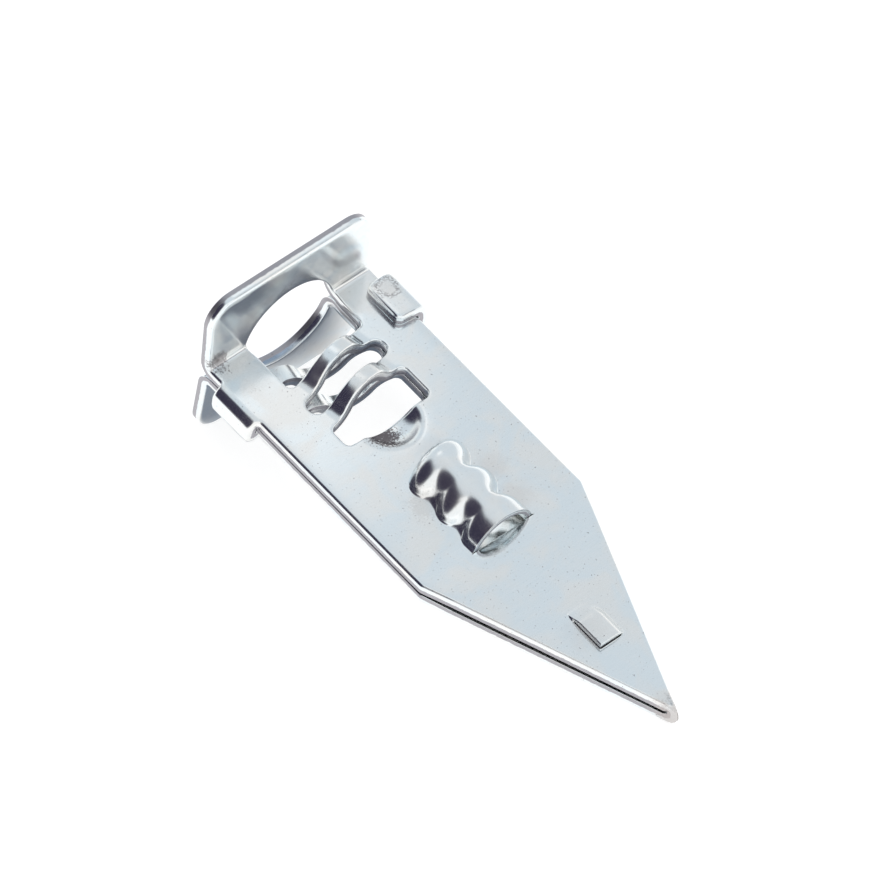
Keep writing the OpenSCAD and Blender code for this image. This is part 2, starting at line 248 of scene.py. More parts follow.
class HalfStrip:
    """One half of the strip as a flat blank, and the map that forms it.

    Blank places are (u, v): u is X on the leaf, arc length on the bends, and v runs across.
    """

    def __init__(self, sheet, half_w, shift, is_front):
        self.t = sheet
        self.half_w = half_w
        self.shift = shift
        self.is_front = is_front
        self.bend_x = BEND_INSIDE_R + sheet
        self.bend_r = BEND_INSIDE_R + sheet / 2
        self.bend_turn = math.pi / 2 - FLANGE_LEAN
        self.bend_u = self.bend_x - self.bend_r * self.bend_turn
        self.top_u = self.bend_u - (FLANGE_HEIGHT - BEND_INSIDE_R)
        self.fold_r = FOLD_GAP / 2 + sheet / 2
        self.fold_x = STRIP_LENGTH - FOLD_GAP / 2 - sheet
        self.mid_u = self.fold_x + self.fold_r * math.pi / 2
        self.lean = math.atan(PITCH / (2 * math.pi * STRAP_R))
        self.axis_h = AXIS_DROP + sheet / 2
        self.window_end = WINDOW_C_END - (0 if is_front else BACK_WINDOW_LEAD)
        self.strap_foot_y = self.foot_y(STRAP_R - sheet / 2, STRAP_FOOT_R + sheet / 2)
        self.tab_r = TAB_INSIDE_R + sheet / 2
        self.tab_v = half_w + TAB_SIDE_CLEAR + sheet / 2 - self.tab_r
        self.tab_gap_half = float(np.interp(TAB_X + TAB_L / 2, GAP_X, GAP_HALF))
        self.tab_wall = 2 * self.tab_gap_half + 2 * sheet + TAB_CLEAR - 2 * self.tab_r
        self.tab_lie = self.tab_v - (half_w - TAB_REACH)
        self.tab_end_v = self.tab_v + math.pi * self.tab_r + self.tab_wall + self.tab_lie
        self.meridian()

    def foot_y(self, crest_r, foot_r):
        """How far out the foot arc of an arch meets the leaf, measured on the middle surface."""
        return math.sqrt((crest_r + foot_r) ** 2 - (self.axis_h + foot_r) ** 2)

    def meridian(self):
        """The tunnel's crest line from end to end, as X and radius against its own length."""
        lobe_r = LOBE_ROUND_R - self.t / 2
        lobe_z = LOBE_R - LOBE_ROUND_R
        waist = WAIST_R - self.t / 2
        rise = lobe_z - waist
        half_pitch = PITCH / 2
        waist_r = (half_pitch**2 + rise**2 - lobe_r**2) / (2 * (lobe_r + rise))
        waist_z = waist + waist_r
        reach = math.atan2(waist_z - lobe_z, half_pitch)
        foot = TUNNEL_FOOT_R + self.t / 2
        slope = TUNNEL_END_SLOPE
        first = LOBE_X + self.shift
        end = MOUTH_X + self.shift
        dome_start = np.array((first - lobe_r * math.sin(slope), lobe_z + lobe_r * math.cos(slope)))
        foot_end_z = self.axis_h + foot * (1 - math.cos(slope))
        foot_end_x = dome_start[0] - (dome_start[1] - foot_end_z) / math.tan(slope)
        foot_x = foot_end_x - foot * math.sin(slope)
        path = [
            np.array(((foot_x - TUNNEL_LEAD, self.axis_h),)),
            along_arc((foot_x, self.axis_h + foot), foot, -math.pi / 2, slope - math.pi / 2,
                      CREST_STEP),
        ]
        for k in range(LOBE_COUNT):
            x = first + k * PITCH
            start = math.pi / 2 + slope if k == 0 else math.pi - reach
            path.append(along_arc((x, lobe_z), lobe_r, start, reach, CREST_STEP))
            path.append(along_arc((x + half_pitch, waist_z), waist_r, math.pi + reach,
                                  2 * math.pi - reach, CREST_STEP))
        path = resampled(np.concatenate(path), CREST_STEP, closed=False)
        path = path[path[:, 0] <= end]
        path = np.concatenate((path, [(end, np.interp(end, path[-3:, 0], path[-3:, 1]))]))
        length = np.concatenate(((0.0,), np.cumsum(np.linalg.norm(np.diff(path, axis=0), axis=1))))
        self.crest_length = length
        self.crest_x, self.crest_r = path[:, 0], path[:, 1]
        self.tunnel_u = (float(path[0, 0]), end)

    def arch(self, across, half, side_r, ridge_r, axis_h, foot_r):
        """Sideways place and height on an arch over the screw, at an even rate from 0 to half.

        Its radius changes from the ridge to the sides, and a foot arc runs it out into the leaf.
        """
        foot_y = np.sqrt(np.maximum((side_r + foot_r) ** 2 - (axis_h + foot_r) ** 2, 0))
        turn = np.arccos(np.clip((axis_h + foot_r) / (side_r + foot_r), -1, 1))
        total = (side_r + foot_r) * turn + half - foot_y
        run = np.abs(across) / half * total
        on_crest = run < side_r * turn
        on_foot = ~on_crest & (run < (side_r + foot_r) * turn)
        angle = run / side_r
        to_side = smooth_step(angle / np.maximum(turn, 1e-3))
        radius = ridge_r + (side_r - ridge_r) * to_side
        left = turn - (run - side_r * turn) / foot_r
        y = np.where(on_crest, radius * np.sin(angle),
                     np.where(on_foot, foot_y - foot_r * np.sin(left),
                              foot_y + run - (side_r + foot_r) * turn))
        z = np.where(on_crest, radius * np.cos(angle) - axis_h,
                     np.where(on_foot, foot_r * (1 - np.cos(left)), 0))
        beyond = np.abs(across) >= half
        return np.where(beyond, across, np.sign(across) * y), np.where(beyond, 0, z)

    def surface(self, uv):
        """Middle surface of the formed sheet at blank places."""
        u, v = uv[:, 0], uv[:, 1]
        x, y, lift = u.copy(), v.copy(), np.zeros(len(u))
        self.form_straps(u, v, x, y, lift)
        self.form_tunnel(u, v, x, y, lift)
        lift += self.tooth_lift(u, v) + self.barb_lift(u, v)
        gap_half = np.interp(u, GAP_X, GAP_HALF)
        z = gap_half + self.t / 2 + lift
        self.form_head(u, x, z)
        self.form_fold(u, x, z)
        self.form_tab(u, v, y, z)
        return np.stack((x, y, z), 1)

    def form_straps(self, u, v, x, y, lift):
        """Arches the bars between the slots, each square to its own slanted line."""
        half = self.strap_foot_y + 0.05
        crest, foot = STRAP_R - self.t / 2, STRAP_FOOT_R + self.t / 2
        c, s = math.cos(self.lean), math.sin(self.lean)
        for k in range(STRAP_COUNT):
            centre = STRAP_X + self.shift + k * PITCH
            a = (u - centre) * c + v * s
            b = -(u - centre) * s + v * c
            here = (np.abs(a) < PITCH / 2 * c) & (np.abs(b) < half)
            across, up = self.arch(b[here], half, crest, crest, self.axis_h, foot)
            x[here] = centre + a[here] * c - across * s
            y[here] = a[here] * s + across * c
            lift[here] = up

    def form_tunnel(self, u, v, x, y, lift):
        """Draws the thread tunnel out of the leaf: a level ridge whose sides swell into lobes."""
        start, end = self.tunnel_u
        here = (u > start) & (u <= end + SLIT_W / 4) & (np.abs(v) < TUNNEL_HALF)
        along = np.clip((u[here] - start) / (end - start), 0, 1) * self.crest_length[-1]
        side_r = np.interp(along, self.crest_length, self.crest_r)
        crest_x = np.interp(along, self.crest_length, self.crest_x)
        first = LOBE_X + self.shift
        last = first + (LOBE_COUNT - 1) * PITCH
        lobe_r = LOBE_R - self.t / 2
        ridge_r = np.where(crest_x > first, lobe_r, side_r)
        swell = 0.5 + 0.5 * np.cos((crest_x - first) / PITCH * 2 * math.pi)
        lobe = np.where(crest_x > first, swell, 1.0)
        lobe = np.where(crest_x > last, 1.0, smooth_step(lobe))
        stilt = LOBE_STILT * lobe * np.clip((ridge_r - self.axis_h) / 0.6, 0, 1)
        foot_r = self.t / 2 + WAIST_FOOT_R + (LOBE_FOOT_R - WAIST_FOOT_R) * lobe
        waist = np.abs((crest_x - first) / PITCH % 1 - 0.5) * PITCH
        between = (crest_x > first) & (crest_x < last)
        notch = np.where(between, np.clip(1 - waist / NOTCH_HALF, 0, 1), 0)
        side_r = np.where(v[here] > 0, side_r - NOTCH_DEPTH * notch, side_r)
        side_r = np.where(crest_x > last, lobe_r, side_r)
        across, up = self.arch(v[here], TUNNEL_HALF, side_r - stilt, ridge_r - stilt,
                               self.axis_h - stilt, foot_r)
        edge = smooth_step((np.abs(v[here]) - TUNNEL_FLAT_FROM) / (TUNNEL_HALF - TUNNEL_FLAT_FROM))
        slant = math.tan(self.lean) * across * (1 - edge)
        slant *= smooth_step((end - crest_x) / PITCH) * smooth_step((crest_x - start) / 0.8)
        x[here] = crest_x * (1 - edge) + u[here] * edge - slant
        y[here] = across
        lift[here] = up

    def tooth_lift(self, u, v):
        """The tooth pressed through both leaves at the end of the last window."""
        ball = (TOOTH_HALF**2 + TOOTH_DEPTH**2) / (2 * TOOTH_DEPTH)
        ball += self.t / 2 if self.is_front else 1.5 * self.t
        far = np.hypot(u - WINDOW_C_END, v)
        cap = TOOTH_DEPTH - ball + np.sqrt(np.maximum(ball**2 - far**2, 0))
        cap = (cap + np.sqrt(cap**2 + TOOTH_SOFTNESS**2)) / 2
        fade = 1 - smooth_step((far - TOOTH_FADE_FROM) / TOOTH_FADE_L)
        here = (u > self.window_end - 0.4) & (np.abs(v) < WINDOW_C_HALF)
        return np.where(here, cap * fade * (-1 if self.is_front else 1), 0)

    def barb_lift(self, u, v):
        """The barb: free along one side and its far end, and drawn up to them in a round sweep."""
        along = np.clip((u - BARB_X + 0.3) / (BARB_L + 0.3), 0, 1)
        rise = smooth_step(along * 2.2)
        across = smooth_step((BARB_HALF + 0.4 - v) / 0.9)
        here = (u < BARB_X + BARB_L + BARB_END_GAP / 2) & (v > -BARB_HALF - BARB_SIDE_GAP / 2)
        return np.where(here, BARB_RISE * rise * across, 0)

    def form_head(self, u, x, z):
        """Turns the head up into its flange."""
        here = u < self.bend_x
        turn = np.minimum((self.bend_x - u[here]) / self.bend_r, self.bend_turn)
        rest = np.maximum(self.bend_u - u[here], 0)
        level = z[here]
        x[here] = self.bend_x - self.bend_r * np.sin(turn) - rest * math.sin(FLANGE_LEAN)
        z[here] = level + self.bend_r * (1 - np.cos(turn)) + rest * math.cos(FLANGE_LEAN)

    def form_fold(self, u, x, z):
        """Turns the point down into its half of the fold."""
        here = u > self.fold_x
        turn = (u[here] - self.fold_x) / self.fold_r
        x[here] = self.fold_x + self.fold_r * np.sin(turn)
        z[here] = self.fold_r * np.cos(turn)

    def form_tab(self, u, v, y, z):
        """Turns the side tab down past the other leaf and in under it."""
        run = -v - self.tab_v
        near = 1 - smooth_step((np.abs(u - TAB_X - TAB_L / 2) - TAB_L / 2) / 0.25)
        here = (run > 0) & (near > 0) & (v < 0)
        r, wall = self.tab_r, self.tab_wall
        run = run[here]
        first = np.clip(run / r, 0, math.pi / 2)
        down = np.clip(run - r * math.pi / 2, 0, wall)
        second = np.clip((run - r * math.pi / 2 - wall) / r, 0, math.pi / 2)
        under = np.maximum(run - r * math.pi - wall, 0)
        out_y = self.tab_v + r * np.sin(first) - r * (1 - np.cos(second)) - under
        drop = r * (1 - np.cos(first)) + down + r * np.sin(second)
        blend = near[here]
        y[here] = -out_y * blend + v[here] * (1 - blend)
        z[here] -= drop * blend

    def placed(self, uv, w):
        """Points of the formed sheet at blank places and heights above its middle surface."""
        e = 0.004
        du = self.surface(uv + (e, 0)) - self.surface(uv - (e, 0))
        dv = self.surface(uv + (0, e)) - self.surface(uv - (0, e))
        normal = np.cross(du, dv)
        normal /= np.linalg.norm(normal, axis=1)[:, None]
        points = self.surface(uv) + normal * np.asarray(w)[:, None]
        return points if self.is_front else points * (1, -1, -1)

    # The blank: its outline, its holes and the places where the mesh is fine.

    def outline(self):
        w, neck = self.half_w, NECK_U
        tab_end = TAB_X + TAB_L
        corners = [
            (self.top_u, -w), (TAB_X, -w), (TAB_X, -self.tab_end_v),
            (tab_end - TAB_TAPER, -self.tab_end_v), (tab_end, -w), (SHOULDER_X, -w),
            (neck, -FOLD_HALF_W), (self.mid_u, -FOLD_HALF_W), (self.mid_u, FOLD_HALF_W),
            (neck, FOLD_HALF_W), (SHOULDER_X, w), (self.top_u, w),
        ]
        radii = [
            FLANGE_CORNER_R, TAB_NOTCH_R, TAB_CORNER_R, TAB_CORNER_R, TAB_NOTCH_R, SHOULDER_R,
            NECK_R, 0, 0, NECK_R, SHOULDER_R, FLANGE_CORNER_R,
        ]
        return rounded_loop(corners, radii, OUTLINE_STEP)

    def hole_and_window(self):
        """The screw hole of this flange, run into the window behind it."""
        u = np.linspace(self.top_u, self.bend_x, 600)
        level = self.surface(np.stack((u, np.zeros(600)), 1))[:, 2]
        low = math.asin(level[-1] / HOLE_R)
        angles = np.linspace(low, math.pi - low, 90)
        hole_u = np.interp(-HOLE_R * np.sin(angles), -level, u)
        arc = np.stack((hole_u, HOLE_R * np.cos(angles)), 1)
        first = STRAP_X + self.shift
        side = WINDOW_A_HALF
        lean = math.tan(self.lean)
        half = STRAP_W / 2 / math.cos(self.lean)
        left = np.array((first - half + lean * side, -side))
        right = np.array((first - half - lean * side, side))
        ends = rounded_loop(
            [(self.bend_x + 0.8, -side), left, right, (self.bend_x + 0.8, side)],
            [0, WINDOW_R, WINDOW_R, 0], WINDOW_STEP,
        )
        last = int(np.argmin(np.linalg.norm(ends - (self.bend_x + 0.8, side), axis=1)))
        return resampled(np.concatenate((arc, ends[: last + 1])), HOLE_STEP, closed=True)

    def slanted_window(self, from_x, to_x, half, radius, to_slants):
        lean = math.tan(self.lean)
        far = lean * half if to_slants else 0
        corners = [(from_x + lean * half, -half), (to_x + far, -half), (to_x - far, half),
                   (from_x - lean * half, half)]
        return rounded_loop(corners, [radius] * 4, WINDOW_STEP)

    def narrowed(self, loop):
        """Widens a window towards the straps beside it, whose bars draw in as they are arched."""
        out = loop.copy()
        half = self.strap_foot_y
        for k in range(STRAP_COUNT):
            centre = STRAP_X + self.shift + k * PITCH
            a = (loop[:, 0] - centre) * math.cos(self.lean) + loop[:, 1] * math.sin(self.lean)
            near = (np.abs(a) < STRAP_W / 2 + 0.05) & (np.abs(loop[:, 1]) < half)
            draw = STRAP_WAIST * (1 - (loop[near, 1] / half) ** 2) ** 2
            out[near, 0] -= np.sign(a[near]) * draw
        return out

    def holes(self):
        """Every opening in the blank, with the rounding of its edge."""
        half = STRAP_W / 2 / math.cos(self.lean)
        first = STRAP_X + self.shift
        windows = [self.hole_and_window()]
        for k in range(STRAP_COUNT - 1):
            start = first + k * PITCH + half
            end = first + (k + 1) * PITCH - half
            radius = (end - start) / 2 * math.cos(self.lean) - 0.02
            windows.append(self.slanted_window(start, end, SLOT_HALF, radius, True))
        last = first + (STRAP_COUNT - 1) * PITCH + half
        windows.append(self.slanted_window(last, self.window_end, WINDOW_C_HALF, WINDOW_R, False))
        mouth = MOUTH_X + self.shift
        far = mouth + SLIT_W
        slits = [rounded_loop(
            [(mouth, -MOUTH_HALF), (far, -MOUTH_HALF), (far, MOUTH_HALF), (mouth, MOUTH_HALF)],
            [0, 0, 0, 0], SLIT_STEP)]
        far, lead = BARB_X + BARB_L, BARB_X + BARB_SLIT_LEAD
        end = far + BARB_END_GAP
        low, side = -BARB_HALF, -BARB_HALF - BARB_SIDE_GAP
        slits.append(rounded_loop(
            [(lead, side), (end, side), (end, BARB_HALF), (far, BARB_HALF), (far, low),
             (lead, low)], [0, 0.1, 0, 0, 0, 0], SLIT_STEP))
        return ([(self.narrowed(window), WINDOW_ROLL) for window in windows]
                + [(slit, SLIT_ROLL) for slit in slits])

    def fine_zones(self):
        """Boxes of the blank that bend, with the mesh step along and across in each."""
        s, w = self.shift, self.half_w
        tab_u = (TAB_X - 0.3, TAB_X + TAB_L + 0.3)
        return [
            (self.bend_u - 0.1, self.bend_x + 0.1, -w, w, 0.11, 0.5),
            (*tab_u, -self.tab_end_v, -self.tab_v + 0.3, 0.5, 0.11),
            (STRAP_X + s - 1.5, self.tunnel_u[0] - 0.2, -4.1, 4.1, 0.14, 0.13),
            (self.tunnel_u[0] - 0.2, self.tunnel_u[1] + 0.5, -3.8, 3.8, 0.1, 0.12),
            (BARB_X - 0.8, BARB_X + BARB_L + 0.5, -1.5, 1.6, 0.11, 0.11),
            (self.fold_x - 0.1, self.mid_u, -FOLD_HALF_W, FOLD_HALF_W, 0.06, 0.1),
        ]

    def grid(self):
        """Inner places of the mesh: fine in the zones that bend, coarse on the flats."""
        zones = self.fine_zones()
        parts, steps = [], []
        for u0, u1, v0, v1, hu, hv in zones:
            u = np.linspace(u0, u1, max(2, round((u1 - u0) / hu)))
            v = np.linspace(v0, v1, max(3, round((v1 - v0) / hv) | 1))
            parts.append(np.stack(np.meshgrid(u, v, indexing="ij"), -1).reshape(-1, 2))
            steps.append(np.full(len(parts[-1]), min(hu, hv)))
        u = np.arange(self.top_u, self.mid_u - 0.3, FLAT_STEP)
        v = np.arange(-self.tab_end_v, self.half_w + FLAT_STEP, FLAT_STEP)
        coarse = np.stack(np.meshgrid(u, v, indexing="ij"), -1).reshape(-1, 2)
        clear = np.ones(len(coarse), bool)
        for u0, u1, v0, v1, _, _ in zones:
            clear &= ~((coarse[:, 0] > u0 - 0.3) & (coarse[:, 0] < u1 + 0.3)
                       & (coarse[:, 1] > v0 - 0.3) & (coarse[:, 1] < v1 + 0.3))
        parts.append(coarse[clear])
        steps.append(np.full(clear.sum(), FLAT_STEP))
        return np.concatenate(parts), np.concatenate(steps)

    def blank(self):
        """The blank as triangles, with each place's drop at a rounded edge, and its wall loops."""
        outline = self.outline()
        holes = self.holes()
        rims = [(outline, OUTLINE_ROLL, 1)] + [(hole, roll, -1) for hole, roll in holes]
        points, drops, bands, loops = [], [], [], []
        start = 0
        for loop, (reach, fall), side in rims:
            normals = loop_normals(loop, side)
            seam = np.abs(loop[:, 0] - self.mid_u) < 1e-6
            if side == 1:
                keep = ~(seam & (np.abs(loop[:, 1]) < FOLD_HALF_W - 1e-6))
                loop, normals, seam = loop[keep], normals[keep], seam[keep]
                normals[seam] = np.stack((np.zeros(seam.sum()), -np.sign(loop[seam, 1])), 1)
            for turn in np.radians(ROLL_TURNS):
                points.append(loop + normals * reach * (1 - math.cos(turn)))
                drops.append(np.full(len(loop), fall * (1 - math.sin(turn))))
                bands.append(np.full(len(loop), 1.0 if turn == 0 else 0.0))
            loops.append((np.arange(start, start + len(loop)), loop, normals, seam, fall))
            start += len(loop) * len(ROLL_TURNS)
        inner, step = self.grid()
        keep = is_inside(inner, outline) | (np.abs(inner[:, 0] - self.mid_u) < 1e-6)
        for hole, _ in holes:
            keep &= ~is_inside(inner, hole)
        inner, step = inner[keep], step[keep]
        gap = np.full(len(inner), np.inf)
        for loop, (reach, _), _ in rims:
            away = distance_to_loop(inner, loop) - reach - 0.4 * np.minimum(step, 0.4)
            if loop is outline:
                side_gap = FOLD_HALF_W - np.abs(inner[:, 1]) - reach - 0.03
                away = np.where(inner[:, 0] > self.fold_x, side_gap, away)
            gap = np.minimum(gap, away)
        inner = inner[gap > 0]
        points.append(inner)
        drops.append(np.zeros(len(inner)))
        bands.append(np.zeros(len(inner)))
        points, drops, bands = np.concatenate(points), np.concatenate(drops), np.concatenate(bands)
        edges = []
        for index, *_ in loops:
            edges += list(zip(index.tolist(), np.roll(index, -1).tolist()))
        _, _, faces, origins, _, _ = delaunay_2d_cdt(
            [Vector(p) for p in points], edges, [], 0, 1e-7
        )
        if any(not o for o in origins):
            raise RuntimeError("two outlines of the blank cross")
        first = np.array([o[0] for o in origins])
        merged = {i: o[0] for o in origins for i in o}
        faces = first[np.array(faces)]
        middle = points[faces].mean(1)
        keep = is_inside(middle, outline)
        for hole, _ in holes:
            keep &= ~is_inside(middle, hole)
        return points, drops, bands, faces[keep], loops, merged

    def inner_level(self, uv):
        """Height of the inner face under the middle surface: the tunnel's lip is drawn thin."""
        mouth = MOUTH_X + self.shift
        near = smooth_step(1 - (mouth - uv[:, 0]) / LIP_REACH)
        near *= uv[:, 0] < mouth + SLIT_W / 2
        near *= 1 - smooth_step((np.abs(uv[:, 1]) - 2.2) / 0.5)
        return -self.t / 2 + near * (self.t - LIP_THICKNESS)

    def formed(self):
        """The formed sheet: vertices, faces and each wall corner's depth in the sheared edge."""
        points, drops, bands, faces, loops, merged = self.blank()
        count = len(points)
        half_t = self.t / 2
        outer = self.placed(points, half_t - drops)
        inner = self.placed(points, self.inner_level(points) + BURR_DROP * bands)
        verts = [outer, inner]
        quads, depths = [], []
        base = 2 * count
        for index, loop, _, seam, fall in loops:
            own = np.array([merged[i] for i in index])
            size = len(own)
            levels = [own]
            top, low = half_t - fall, self.inner_level(loop) + BURR_DROP
            marks = [fall / self.t]
            for share in WALL_ROWS:
                rows = self.placed(loop, top + (low - top) * share)
                verts.append(rows)
                levels.append(np.arange(base, base + size))
                marks.append((fall + (self.t - fall) * share) / self.t)
                base += size
            levels.append(own + count)
            marks.append(1.0)
            nxt = np.roll(np.arange(size), -1)
            wall = ~(seam & seam[nxt])
            is_outline = index[0] == 0
            for a, b, ma, mb in zip(levels, levels[1:], marks, marks[1:]):
                quad = np.stack((b, b[nxt], a[nxt], a), 1)
                depth = np.tile((mb, mb, ma, ma), (size, 1))
                if not is_outline:
                    quad, depth = quad[:, ::-1], depth[:, ::-1]
                quads.append(quad[wall])
                depths.append(depth[wall])
        bottom = faces[:, ::-1] + count
        return (np.concatenate(verts), faces, bottom, np.concatenate(quads),
                np.concatenate(depths))


def set_attribute(mesh, name, domain, values):
    layer = mesh.attributes.new(name, "FLOAT", domain)
    layer.data.foreach_set("value", np.ascontiguousarray(values, np.float32))


def strip_mesh(sheet, half_w):
    """Forms both halves of the strip, welds them along the fold and lays them down, in metres."""
    turn, shift = rest_placement()
    verts, faces, depths = [], [], []
    base = 0
    for thread_shift, is_front in ((0.0, True), (-PITCH / 2, False)):
        half = HalfStrip(sheet, half_w, thread_shift, is_front)
        points, top, bottom, quads, depth = half.formed()
        verts.append((points @ turn.T + shift) * MM)
        for group in (top, bottom, quads):
            faces += (group + base).tolist()
        depths += [np.zeros(3 * (len(top) + len(bottom))), depth.ravel()]
        base += len(points)
    mesh = bpy.data.meshes.new("Anchor strip")
    mesh.from_pydata(np.concatenate(verts).tolist(), [], faces)
    set_attribute(mesh, "shear_depth", "CORNER", np.concatenate(depths))
    weld(mesh)
    mesh.shade_smooth()
    mesh.set_sharp_from_angle(angle=SHARP_EDGE)
    return mesh


def weld(mesh):
    """Joins the two halves along the fold and drops loose points."""
    work = bmesh.new()
    work.from_mesh(mesh)
    bmesh.ops.remove_doubles(work, verts=work.verts, dist=1e-7)
    loose = [v for v in work.verts if not v.link_faces]
    bmesh.ops.delete(work, geom=loose, context="VERTS")
    bmesh.ops.recalc_face_normals(work, faces=work.faces)
    work.to_mesh(mesh)
    work.free()


# Node building.


def place(tree, kind, x, y, **values):
    """Adds a node at a grid place and sets its named properties."""
    found = tree.nodes.new(kind)
    found.location = (x * 200, y * 200)
    for name, value in values.items():
        setattr(found, name, value)
    return found


def feed(tree, target, name, source):
    """Links a socket, or sets a plain value, on a node's input."""
    socket = target.inputs[name]
    if isinstance(source, bpy.types.NodeSocket):
        tree.links.new(source, socket)
    else:
        socket.default_value = source


def math_node(tree, operation, a, b, x, y, clamp=False):
    found = place(tree, "ShaderNodeMath", x, y, operation=operation, use_clamp=clamp)
    feed(tree, found, 0, a)
    if b is not None:
        feed(tree, found, 1, b)
    return found.outputs[0]


def vector_node(tree, operation, a, b, x, y):
    found = place(tree, "ShaderNodeVectorMath", x, y, operation=operation)
    feed(tree, found, 0, a)
    feed(tree, found, 1, b)
    return found.outputs["Value" if operation in {"DISTANCE", "DOT_PRODUCT"} else "Vector"]


def range_node(tree, value, low, high, x, y, to_low=0.0, to_high=1.0):
    found = place(tree, "ShaderNodeMapRange", x, y, interpolation_type="SMOOTHSTEP")
    for name, source in (("Value", value), ("From Min", low), ("From Max", high),
                         ("To Min", to_low), ("To Max", to_high)):
        feed(tree, found, name, source)
    return found.outputs["Result"]


def noise_node(tree, vector, scale, detail, x, y, distortion=0.0):
    found = place(tree, "ShaderNodeTexNoise", x, y)
    feed(tree, found, "Vector", vector)
    feed(tree, found, "Scale", scale)
    feed(tree, found, "Detail", detail)
    feed(tree, found, "Distortion", distortion)
    return found.outputs["Fac"]


def mix_colour(tree, factor, a, b, x, y, blend="MIX"):
    found = place(tree, "ShaderNodeMix", x, y, data_type="RGBA", blend_type=blend)
    feed(tree, found, 0, factor)
    feed(tree, found, 6, a)
    feed(tree, found, 7, b)
    return found.outputs[2]


def new_group(name, inputs, outputs):
    """A shader node group with named sockets, and its two end nodes."""
    tree = bpy.data.node_groups.new(name, "ShaderNodeTree")
    for label, kind, default in inputs:
        socket = tree.interface.new_socket(label, in_out="INPUT", socket_type=kind)
        if default is not None:
            socket.default_value = default
    for label, kind in outputs:
        tree.interface.new_socket(label, in_out="OUTPUT", socket_type=kind)
    return tree, place(tree, "NodeGroupInput", -5, 0), place(tree, "NodeGroupOutput", 5, 0)


def use_group(tree, group, x, y, **values):
    found = place(tree, "ShaderNodeGroup", x, y)
    found.node_tree = group
    for name, source in values.items():
        feed(tree, found, name.replace("_", " "), source)
    return found


def new_material(name):
    """A material with its node tree and its Principled shader."""
    material = bpy.data.materials.new(name)
    material.use_nodes = True
    tree = material.node_tree
    return material, tree, tree.nodes["Principled BSDF"]


FLOAT, VECTOR = "NodeSocketFloat", "NodeSocketVector"


def rolled_grain_group():
    """Fine streaks drawn across the sheet by the rolls, over a soft cloudy mottle."""
    tree, start, end = new_group(
        "Rolled grain",
        [("Place", VECTOR, None), ("Streak Scale", FLOAT, 3.0), ("Mottle Scale", FLOAT, 0.35)],
        [("Streaks", FLOAT), ("Mottle", FLOAT)],
    )
    drawn = vector_node(tree, "MULTIPLY", start.outputs["Place"], (4.0, 0.25, 1.0), -3, 1)
    feed(tree, end, "Streaks", noise_node(tree, drawn, start.outputs["Streak Scale"], 4.0, -1, 1))
    mottle = noise_node(tree, start.outputs["Place"], start.outputs["Mottle Scale"], 5.0, -1, -1,
                        0.6)
    feed(tree, end, "Mottle", mottle)
    return tree


def stain_group():
    """A blotch round one place with a ragged edge, darker along its rim."""
    tree, start, end = new_group(
        "Stain",
        [("Place", VECTOR, None), ("Centre", VECTOR, None), ("Radius", FLOAT, 1.0),
         ("Ragged", FLOAT, 0.5)],
        [("Patch", FLOAT), ("Rim", FLOAT), ("Specks", FLOAT)],
    )
    wander = noise_node(tree, start.outputs["Place"], 1.3, 5.0, -4, -1)
    speckle = noise_node(tree, start.outputs["Place"], 7.0, 3.0, -4, -3)
    away = vector_node(tree, "DISTANCE", start.outputs["Place"], start.outputs["Centre"], -4, 1)
    shove = math_node(tree, "MULTIPLY", math_node(tree, "SUBTRACT", wander, 0.5, -3, -1),
                      start.outputs["Ragged"], -2, -1)
    share = math_node(tree, "ADD", math_node(tree, "DIVIDE", away, start.outputs["Radius"], -3, 1),
                      math_node(tree, "MULTIPLY", shove, 2.0, -1, -1), -1, 1)
    patch = range_node(tree, share, 1.3, 0.2, 1, 1)
    feed(tree, end, "Patch", patch)
    inner = range_node(tree, share, 0.45, 0.9, 1, -1)
    outer = range_node(tree, share, 1.25, 0.95, 1, -2)
    ring = math_node(tree, "MULTIPLY", inner, outer, 3, -1)
    dots = range_node(tree, speckle, 0.42, 0.56, 1, -3)
    thick = math_node(tree, "ADD", speckle, math_node(tree, "MULTIPLY", patch, 0.45, 2, 2), 3, 2)
    feed(tree, end, "Specks", range_node(tree, thick, 0.66, 0.84, 4, 2))
    feed(tree, end, "Rim", math_node(tree, "MULTIPLY", ring, dots, 4, -2, clamp=True))
    return tree


def shear_group():
    """The two bands of a sheared wall: bright burnish next to the outer face, torn grey below."""
    tree, start, end = new_group(
        "Sheared wall",
        [("Depth", FLOAT, 0.0), ("Place", VECTOR, None), ("Break", FLOAT, 0.55)],
        [("Burnish", FLOAT), ("Torn", FLOAT)],
    )
    wander = noise_node(tree, start.outputs["Place"], 2.5, 3.0, -4, -1)
    ragged = math_node(tree, "MULTIPLY", math_node(tree, "SUBTRACT", wander, 0.5, -3, -1),
                       0.25, -2, -1)
    depth = math_node(tree, "ADD", start.outputs["Depth"], ragged, -1, 0)
    on_wall = range_node(tree, start.outputs["Depth"], 0.02, 0.12, -1, 2)
    past = math_node(tree, "SUBTRACT", depth, start.outputs["Break"], 0, 0)
    torn = math_node(tree, "MULTIPLY", range_node(tree, past, -0.04, 0.04, 1, 0), on_wall, 3, 0)
    feed(tree, end, "Torn", torn)
    feed(tree, end, "Burnish", math_node(tree, "SUBTRACT", on_wall, torn, 4, 1, clamp=True))
    return tree


